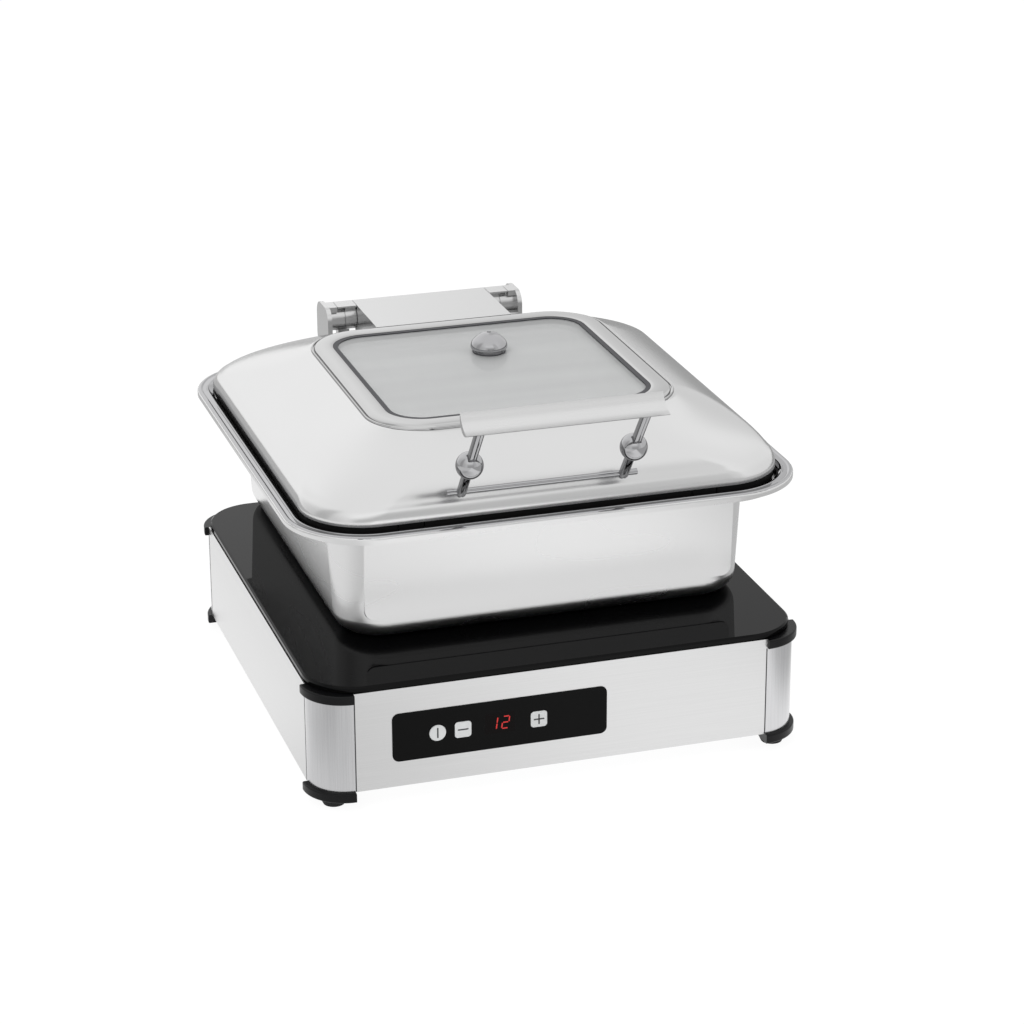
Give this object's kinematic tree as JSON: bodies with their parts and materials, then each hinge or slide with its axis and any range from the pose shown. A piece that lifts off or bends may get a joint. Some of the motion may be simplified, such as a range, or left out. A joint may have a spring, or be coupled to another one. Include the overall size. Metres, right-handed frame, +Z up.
{
  "type": "electric food warmer",
  "caption": "Countertop induction food warmer: steel base with glass top and keys, and a square steel chafing dish with a hinged lid and window.",
  "frame": {"origin": "on the floor, in the middle of the whole object's footprint", "axes": "+Z up, the keys and the lid's handle face -Y, the lid's hinge is at +Y, +X to the right seen from the front"},
  "size_m": [0.427, 0.4806, 0.311],
  "materials": {
    "brushed_panel": "horizontal brushed grain",
    "satin_post": "satin, upright streaks",
    "cap_plastic": "fine moulded satin",
    "foot_rubber": "matt",
    "plated_screw": "plated",
    "floor_sheet": "galvanised",
    "black_glass": "polished black glass ceramic",
    "black_silicone": "matt silicone",
    "film_black": "fine satin gloss",
    "display_smoke": "dark red tinted window",
    "led_red": "lit segments",
    "key_grey": "light grey with dark signs",
    "board_green": "solder mask",
    "component_dark": "moulded parts",
    "copper_litz": "varnished copper wire",
    "carrier_white": "glass-filled nylon",
    "ferrite_grey": "sintered ferrite",
    "mica_sheet": "pressed mica",
    "sink_aluminium": "extruded",
    "fan_black": "moulded",
    "pan_steel": "satin polished",
    "food_steel": "satin",
    "lid_steel": "satin polished",
    "frame_polished": "polished steel",
    "gasket_grey": "grey silicone",
    "clear_glass": "clear toughened glass",
    "chrome_trim": "mirror chrome",
    "grip_brushed": "fine brushed",
    "hinge_brushed": "fine brushed",
    "pin_steel": "ground"
  },
  "bodies": {
    "base": {"front_panel": "brushed_panel", "rear_panel": "brushed_panel", "left_panel": "brushed_panel", "right_panel": "brushed_panel", "corner_post_front_left": "satin_post", "upper_cap_front_left": "cap_plastic", "lower_cap_front_left": "cap_plastic", "corner_post_front_right": "satin_post", "upper_cap_front_right": "cap_plastic", "lower_cap_front_right": "cap_plastic", "corner_post_rear_left": "satin_post", "upper_cap_rear_left": "cap_plastic", "lower_cap_rear_left": "cap_plastic", "corner_post_rear_right": "satin_post", "upper_cap_rear_right": "cap_plastic", "lower_cap_rear_right": "cap_plastic", "rubber_feet": "foot_rubber", "corner_screws": "plated_screw", "floor_plate": "floor_sheet", "floor_screws": "plated_screw", "glass_top": "black_glass", "glass_seal": "black_silicone", "control_film": "film_black", "display_window": "display_smoke", "display_digits": "led_red", "control_board": "board_green", "tact_switches": "component_dark", "induction_coil": "copper_litz", "coil_carrier": "carrier_white", "ferrite_bars": "ferrite_grey", "temperature_sensor": "component_dark", "insulation_disc": "mica_sheet", "power_board": "board_green", "heat_sink": "sink_aluminium", "board_components": "component_dark", "fan_housing": "fan_black", "power_inlet": "component_dark"},
    "fan": {"fan_rotor": "fan_black"},
    "power_key": {"power_key": "key_grey"},
    "minus_key": {"minus_key": "key_grey"},
    "plus_key": {"plus_key": "key_grey"},
    "dish": {"water_pan": "pan_steel", "food_pan": "food_steel", "hinge_bracket_left": "hinge_brushed", "hinge_bracket_right": "hinge_brushed", "lid_bumpers": "black_silicone"},
    "lid": {"lid_shell": "lid_steel", "window_frame": "frame_polished", "window_gasket": "gasket_grey", "window_glass": "clear_glass", "lid_seal": "black_silicone", "vent_knob": "chrome_trim", "vent_stem": "pin_steel", "handle_grip": "grip_brushed", "handle_rods": "chrome_trim", "handle_balls": "chrome_trim", "handle_rail": "chrome_trim", "hinge_cover": "hinge_brushed", "hinge_end_plates": "hinge_brushed", "hinge_pin": "pin_steel"}
  },
  "joints": [
    {"name": "dish_lift", "type": "slide", "parent": "base", "child": "dish", "axis": [0, 0, 1], "range_m": [0, 0.15]},
    {"name": "lid_hinge", "type": "hinge", "parent": "dish", "child": "lid", "pos_m": [0.0035, 0.2143, 0.2515], "axis": [-1, 0, 0], "range_deg": [0, 90]},
    {"name": "fan_spin", "type": "hinge", "parent": "base", "child": "fan", "pos_m": [0.1071, -0.1499, 0.03], "axis": [0, 0, 1], "continuous": true},
    {"name": "power_press", "type": "slide", "parent": "base", "child": "power_key", "axis": [0, 1, 0], "range_m": [0, 0.0008], "stiffness_N_per_m": 600, "springref_m": -0.0004},
    {"name": "minus_press", "type": "slide", "parent": "base", "child": "minus_key", "axis": [0, 1, 0], "range_m": [0, 0.0008], "stiffness_N_per_m": 600, "springref_m": -0.0004},
    {"name": "plus_press", "type": "slide", "parent": "base", "child": "plus_key", "axis": [0, 1, 0], "range_m": [0, 0.0008], "stiffness_N_per_m": 600, "springref_m": -0.0004}
  ]
}
